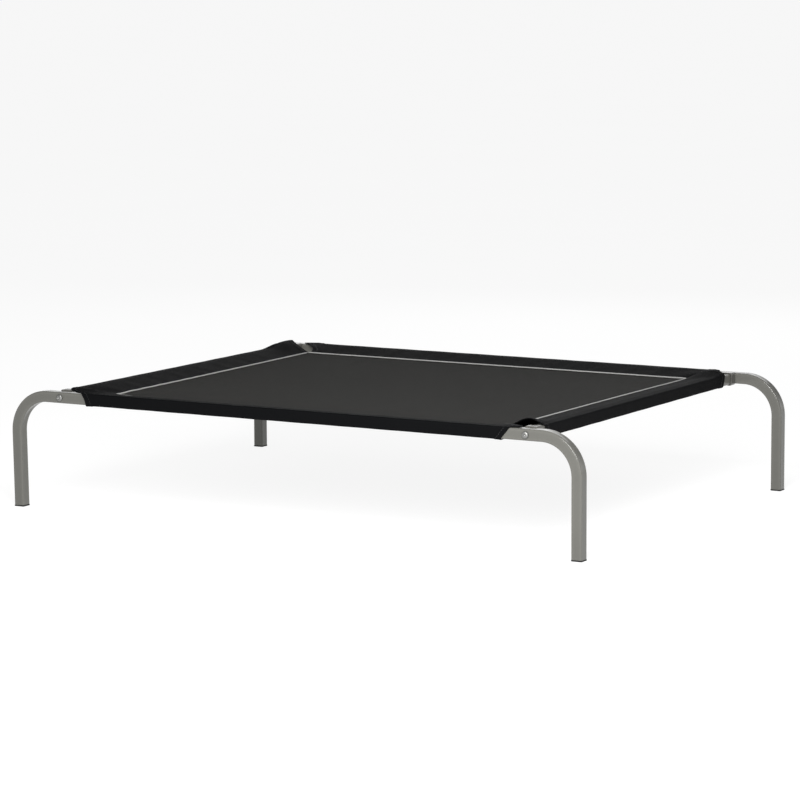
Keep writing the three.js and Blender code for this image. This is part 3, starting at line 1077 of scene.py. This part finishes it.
def make_floor():
    half = 150
    corners = [(-half, -half, 0), (half, -half, 0), (half, half, 0), (-half, half, 0)]
    mesh = bpy.data.meshes.new("floor")
    mesh.from_pydata(corners, [], [(0, 1, 2, 3)])
    finish = Finish("pale_floor", Specular_IOR_Level=0.0)
    finish.shader.inputs["Emission Color"].default_value = (1, 1, 1, 1)
    finish.shader.inputs["Emission Strength"].default_value = FLOOR_GLOW
    shade = finish.noise(1.5, 2)
    finish.colour(finish.blend(shade, (0.19, 0.19, 0.19), (0.21, 0.21, 0.21)))
    finish.roughness(finish.scaled(shade, 0.85, 0.95))
    mesh.materials.append(finish.material)
    floor = bpy.data.objects.new("floor", mesh)
    bpy.context.scene.collection.objects.link(floor)
    floor.location.z = -0.1 * MM


def light_studio():
    world = bpy.data.worlds.new("studio")
    world.use_nodes = True
    tree = world.node_tree
    direction = tree.nodes.new("ShaderNodeTexCoord")
    parts = tree.nodes.new("ShaderNodeSeparateXYZ")
    level = tree.nodes.new("ShaderNodeMapRange")
    tree.links.new(direction.outputs["Generated"], parts.inputs[0])
    tree.links.new(parts.outputs["Z"], level.inputs["Value"])
    level.inputs["From Min"].default_value = HORIZON_END
    level.inputs["From Max"].default_value = CEILING_START
    level.inputs["To Min"].default_value = HORIZON
    level.inputs["To Max"].default_value = CEILING
    tree.nodes["Background"].inputs["Color"].default_value = (1, 1, 1, 1)
    tree.links.new(level.outputs[0], tree.nodes["Background"].inputs["Strength"])
    bpy.context.scene.world = world
    soft_light("key", (1.15, -2.2, 1.35), (0.2, -0.2, 0.1), (0.9, 1.5), 120)
    soft_light("rim", (-0.75, 2.8, 1.4), (0.2, 0.0, 0.2), (2.6, 1.2), 10)
    bpy.context.scene.view_settings.view_transform = "Standard"


# ---------------------------------------------------------------- assembly

make_camera()
make_floor()
light_studio()

ENDS = (("front", -1), ("rear", 1))
SIDES = (("left", -1), ("right", 1))

long_tube("front", -RAIL_Y, FRONT_LEFT_OVER_BEND)
long_tube("rear", RAIL_Y)
for side_name, side in SIDES:
    cross_tube(side_name, side * CROSS_X)
for end_name, end in ENDS:
    for side_name, side in SIDES:
        corner = f"{end_name}_{side_name}"
        corner_socket(corner, side, end)
        button_bolt(corner, side, end)
        foot_cap(corner, side, end)
        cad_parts[f"{corner}_nut_plug"].data.materials[0] = PLASTIC
        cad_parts[f"{corner}_captive_nut"].data.materials[0] = ZINC

panel = panel_cloth()

SLEEVES = [
    Sleeve(
        "left",
        (-CROSS_X, 0.0, 0.0),
        (1.0, 0.0, 0.0),
        (0.0, 1.0, 0.0),
        lambda s: CROSS_X + seam_x(-1, s),
        Mouth(-1, 342 * MM, 333 * MM, SEAM_Y, -2.4 * MM, peak=0.45, inner=9 * MM),
        Mouth(
            1,
            333 * MM,
            326 * MM,
            SEAM_Y,
            8.4 * MM,
            peak=0.36,
            start=-16 * MM,
            hold=22 * MM,
            inner=14 * MM,
        ),
        creases=((7 * MM, 0.9 * MM), (193 * MM, 0.9 * MM)),
    ),
    Sleeve(
        "right",
        (CROSS_X, 0.0, 0.0),
        (-1.0, 0.0, 0.0),
        (0.0, 1.0, 0.0),
        lambda s: CROSS_X - seam_x(1, s),
        Mouth(-1, 348 * MM, 343 * MM, 330 * MM, 9.8 * MM, peak=0.5, start=-4 * MM, inner=-3 * MM),
        Mouth(
            1,
            333 * MM,
            325 * MM,
            SEAM_Y,
            8 * MM,
            peak=0.46,
            start=-11 * MM,
            hold=6 * MM,
            inner=4 * MM,
        ),
    ),
    Sleeve(
        "front",
        (0.0, -RAIL_Y, 0.0),
        (0.0, 1.0, 0.0),
        (1.0, 0.0, 0.0),
        lambda s: RAIL_Y - SEAM_Y + 0 * s,
        Mouth(-1, 404 * MM, 395 * MM, SEAM_X, 6 * MM, curve=2.0, peak=0.3, start=-3 * MM, inner=30 * MM),
        Mouth(1, 422 * MM, 405 * MM, SEAM_X, 2 * MM, inner=14 * MM),
    ),
    Sleeve(
        "rear",
        (0.0, RAIL_Y, 0.0),
        (0.0, -1.0, 0.0),
        (1.0, 0.0, 0.0),
        lambda s: RAIL_Y - SEAM_Y + 0 * s,
        Mouth(-1, 410 * MM, 404 * MM, SEAM_X, 2 * MM, inner=24 * MM),
        Mouth(1, 412 * MM, 405 * MM, SEAM_X, 2 * MM, inner=16 * MM),
    ),
]

SEAM_SIDES = {"left": ("left", -1), "right": ("right", 1), "front": ("front", -1), "rear": ("rear", 1)}

for sleeve in SLEEVES:
    side = SEAM_SIDES[sleeve.name]
    cloth = sleeve_cloth(sleeve)
    long_side = sleeve.name in ("front", "rear")
    overlap = -1.2 * MM if long_side else 1.2 * MM
    cord = piping_cord(sleeve.name, seam_path(side, inset=PIPING_INSET, trim=overlap))
    hems = stitching(f"{sleeve.name}_hem_stitching", hem_rows(sleeve))
    panel_row = seam_path(side, inset=3 * MM, lift=PANEL_CLOTH / 2, trim=5 * MM)
    upward = np.broadcast_to(np.array([0, 0, 1.0]), panel_row.shape)
    flap_rows = [flap_path(sleeve, 3.5 * MM, True), flap_path(sleeve, 3.5 * MM, False)]
    seam = stitching(f"{sleeve.name}_seam_stitching", [(panel_row, upward), *flap_rows])
    reach = float(sleeve.seam_reach(0.0))
    run = float(np.mean(sleeve.edges()[1] - sleeve.edges()[0]))
